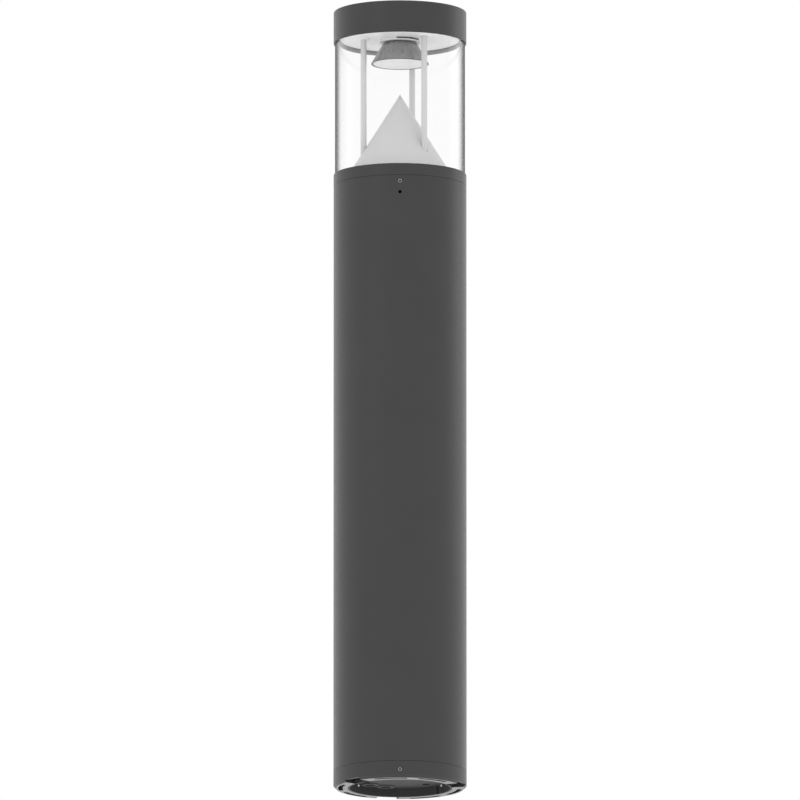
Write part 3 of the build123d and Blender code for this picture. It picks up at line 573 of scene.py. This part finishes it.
# Rounds the corners of a closed outline of (radius, height) points. A guard point before and
# after each round keeps the shading of the long walls flat.
def rounded(outline, radius):
    share, guard, steps = meshValues["shareOfSide"], meshValues["guard"], meshValues["roundSteps"]
    points = []
    count = len(outline)
    for index, corner in enumerate(outline):
        here = Vector(corner)
        before = Vector(outline[index - 1]) - here
        after = Vector(outline[(index + 1) % count]) - here
        reach = min(radius, before.length * share, after.length * share)
        start, end = here + before.normalized() * reach, here + after.normalized() * reach
        points.append(here + before.normalized() * reach * guard)
        for step in range(steps + 1):
            t = step / steps
            points.append(start * (1 - t) ** 2 + here * 2 * t * (1 - t) + end * t ** 2)
        points.append(here + after.normalized() * reach * guard)
    return points


# Turns a closed outline round an upright axis at a given centre.
def turnOutline(mesh, outline, centre=(0, 0), segments=192):
    rings = []
    for step in range(segments):
        angle = 2 * math.pi * step / segments
        rings.append([mesh.verts.new((centre[0] + r * math.cos(angle), centre[1] + r * math.sin(angle), z))
                      for r, z in outline])
    for step in range(segments):
        ring, following = rings[step], rings[(step + 1) % segments]
        for index in range(len(outline)):
            beside = (index + 1) % len(outline)
            mesh.faces.new((ring[index], following[index], following[beside], ring[beside]))


# Turns a bmesh into a smooth-shaded piece that rides a body and stands in for its nodes.
def finishPiece(name, mesh, material, body, nodes, extras=()):
    bmesh.ops.remove_doubles(mesh, verts=mesh.verts, dist=meshValues["weld"])
    bmesh.ops.recalc_face_normals(mesh, faces=mesh.faces)
    for face in mesh.faces:
        face.smooth = True
    for edge in mesh.edges:
        edge.smooth = edge.calc_face_angle(0) < math.radians(meshValues["sharp"])
    data = bpy.data.meshes.new(name)
    mesh.to_mesh(data)
    mesh.free()
    piece = bpy.data.objects.new(name, data)
    bpy.context.scene.collection.objects.link(piece)
    for each in (material, *extras):
        data.materials.append(each)
    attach(piece, body)
    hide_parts(*nodes)
    return piece


# ---------- lens ----------
lensValues = {"edgeRound": 0.5 * mm, "wall": 5 * mm, "segments": 256}


def makeLens(values):
    outer = lensHigh.x
    inner = outer - values["wall"]
    outline = rounded([(inner, lensLow.z), (outer, lensLow.z), (outer, lensHigh.z), (inner, lensHigh.z)],
                      values["edgeRound"])
    mesh = bmesh.new()
    turnOutline(mesh, outline, segments=values["segments"])
    middle = (inner + outer) / 2
    for face in mesh.faces:
        face.material_index = 0 if face.calc_center_median().xy.length > middle else 1
    finishPiece("lensTube", mesh, finishes["acrylicOuter"], "head", ["lens"],
                extras=(finishes["acrylicInner"],))


# ---------- optic ----------
opticValues = {
    "throatRadius": 21.9 * mm,
    "wall": 1.2 * mm,
    "bead": 0.55 * mm,       # rolled edges at the mouth and the throat
    "belly": 0.5 * mm,       # how far the spun side stands out between them
    "sideSteps": 12,
    "beadStep": 30,          # degrees between the points of a bead
    "paintedShadeBelow": 0.6,        # how far under a bead's centre its painted shade reaches, in bead radii
    "diffuserCrown": 0.25 * mm,
    "diffuserEdge": 0.5 * mm,
    "crownMiddle": (0.5, 0.75),    # share of the radius, and of the crown left there
}


def makeOptic(values):
    low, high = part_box("optic_reflector")
    mouth, throat, wall, bead = high.x, values["throatRadius"], values["wall"], values["bead"]
    side = []
    for step in range(values["sideSteps"] + 1):
        t = step / values["sideSteps"]
        side.append((throat + (mouth - throat) * t + values["belly"] * math.sin(math.pi * t),
                     high.z + (low.z - high.z) * t))
    outline = side + [(r - wall, z) for r, z in reversed(side)]
    mesh = bmesh.new()
    turnOutline(mesh, outline)
    for radius, height in ((throat, high.z - bead), (mouth - bead, low.z + bead)):
        turns = [math.radians(turn) for turn in range(0, 360, values["beadStep"])]
        beadOutline = [(radius + bead * math.cos(turn), height + bead * math.sin(turn)) for turn in turns]
        plainFaces = set(mesh.faces)
        turnOutline(mesh, beadOutline)
        # the bead's upper outer half takes the dark bead material, a painted shade line; the rest takes
        # the holder's pale plastic
        for face in mesh.faces:
            middle = face.calc_center_median()
            outside = middle.xy.length > radius and middle.z > height - values["paintedShadeBelow"] * bead
            if face not in plainFaces:
                face.material_index = 1 if outside else 2
    finishPiece("spunReflector", mesh, finishes["spunMetal"], "head", ["optic_reflector"],
                extras=(finishes["beadPaintedShade"], finishes["holder"]))
    low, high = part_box("optic_diffuser")
    radius, crown, edge = high.x, values["diffuserCrown"], values["diffuserEdge"]
    across, down = values["crownMiddle"]
    outline = [(0, low.z - crown), (radius * across, low.z - crown * down), (radius - edge, low.z),
               (radius, low.z + edge), (radius, high.z), (0, high.z)]
    mesh = bmesh.new()
    turnOutline(mesh, outline)
    finishPiece("opalDiffuserDisc", mesh, finishes["opal"], "head", ["optic_diffuser"])


# ---------- rod flanges ----------
flangeValues = {"radius": 8.5 * mm, "bore": 4.05 * mm, "edge": 0.5 * mm, "segments": 64}


def makeFlanges(values):
    low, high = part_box("rod_flanges")
    outline = rounded([(values["bore"], low.z), (values["radius"], low.z),
                       (values["radius"], high.z), (values["bore"], high.z)], values["edge"])
    mesh = bmesh.new()
    for rod in ("tie_rod_1", "tie_rod_2", "tie_rod_3"):
        rodLow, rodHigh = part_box(rod)
        centre = (rodLow + rodHigh) / 2
        turnOutline(mesh, outline, centre=(centre.x, centre.y), segments=values["segments"])
    finishPiece("rodFlanges", mesh, finishes["whiteEnamel"], "head", ["rod_flanges"])


# ---------- set screws ----------
setScrewValues = {
    "radius": 2.85 * mm,
    "chamfer": 0.45 * mm,
    "hex": 1.55 * mm,        # centre of the socket to a flat
    "socketDepth": 2.2 * mm,
    "recess": 0.2 * mm,
    "socketLip": 0.15 * mm,
    "pointRadius": 1.4 * mm,
    "segments": 48,
}


# One grub screw that points inwards, with a hexagon socket in its outer end; the socket's walls and floor
# carry painted shade.
def addSetScrew(mesh, values, azimuth, height, length):
    out = spot(1, azimuth)
    up = Vector((0, 0, 1))
    across = up.cross(out)
    origin = spot(bodyRadius - values["recess"], azimuth, height)

    def place(radius, angle, depth):
        turn = math.radians(angle)
        return origin - out * depth + across * radius * math.cos(turn) + up * radius * math.sin(turn)

    steps, lip = values["segments"], values["socketLip"]
    chamfer, radius = values["chamfer"], values["radius"]
    hexRadius = []
    for step in range(steps):
        angle = 360 * step / steps
        hexRadius.append(values["hex"] / math.cos(math.radians((angle + 30) % 60 - 30)))
    stations = [
        (lambda k: hexRadius[k], values["socketDepth"]),
        (lambda k: hexRadius[k], lip),
        (lambda k: hexRadius[k] + lip, 0),
        (lambda k: radius - chamfer, 0),
        (lambda k: radius, chamfer),
        (lambda k: radius, length - (radius - values["pointRadius"])),
        (lambda k: values["pointRadius"], length),
    ]
    rings = [[mesh.verts.new(place(size(k), 360 * k / steps, depth)) for k in range(steps)]
             for size, depth in stations]
    for index in range(len(rings) - 1):
        for k in range(steps):
            face = mesh.faces.new((rings[index][k], rings[index][(k + 1) % steps],
                                   rings[index + 1][(k + 1) % steps], rings[index + 1][k]))
            # the socket walls and floor take the dark painted shade material
            face.material_index = 1 if index == 0 else 0
    floor = mesh.faces.new(rings[0])
    floor.material_index = 1
    mesh.faces.new(rings[-1])


# Reads a screw's length from its node: how near its tip comes to the post's axis.
def screwLength(node, values):
    tip = min(math.hypot(v.co.x, v.co.y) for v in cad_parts[node].data.vertices)
    return bodyRadius - values["recess"] - tip


def makeSetScrews(name, node, body, values):
    low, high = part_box(node)
    height = (low.z + high.z) / 2
    length = screwLength(node, values)
    mesh = bmesh.new()
    for azimuth in thirds:
        addSetScrew(mesh, values, azimuth, height, length)
    finishPiece(name, mesh, finishes["stainless"], body, [node], extras=(finishes["socket"],))


print("stage: detailed pieces")
makeLens(lensValues)
makeOptic(opticValues)
makeFlanges(flangeValues)
makeSetScrews("headSetScrews", "head_set_screws", "post", setScrewValues)
makeSetScrews("baseSetScrews", "base_set_screws", "post", setScrewValues)

print("stage: studio")
makeCamera(cameraValues)
makeSky(lightValues)
makeSoftbox("keyLight", lightValues["keyPower"], lightValues["keySize"], lightValues["keyPlace"])
makeSoftbox("rimLight", lightValues["rimPower"], lightValues["rimSize"], lightValues["rimPlace"])


# The floor shows only from above, because the picture looks up at the foot from below it.
def makeFloor(values):
    half = values["halfWidth"]
    mesh = bpy.data.meshes.new("floor")
    corners = [(-half, -half, 0), (half, -half, 0), (half, half, 0), (-half, half, 0)]
    mesh.from_pydata(corners, [], [(0, 1, 2, 3)])
    floor = bpy.data.objects.new("floor", mesh)
    bpy.context.scene.collection.objects.link(floor)
    material, tree, shader = newMaterial("floorPaint")
    tree.links.new(drifting(tree, values["color"], values["patchSpread"], values["patchSize"]),
                   shader.inputs["Base Color"])
    tree.links.new(bump(tree, grain(tree, values["grainSize"]), values["grainDepth"]),
                   shader.inputs["Normal"])
    shader.inputs["Roughness"].default_value = values["roughness"]
    clear = addNode(tree, "ShaderNodeBsdfTransparent")
    side = addNode(tree, "ShaderNodeNewGeometry")
    surface = mixShaders(tree, side.outputs["Backfacing"], shader.outputs["BSDF"], clear.outputs["BSDF"])
    tree.links.new(surface, tree.nodes["Material Output"].inputs["Surface"])
    paint(floor, material)
    floor.visible_diffuse = False
    floor.visible_glossy = False
    floor.visible_transmission = False
    floor.visible_shadow = False


makeFloor(floorValues)
bpy.context.scene.view_settings.view_transform = "Standard"
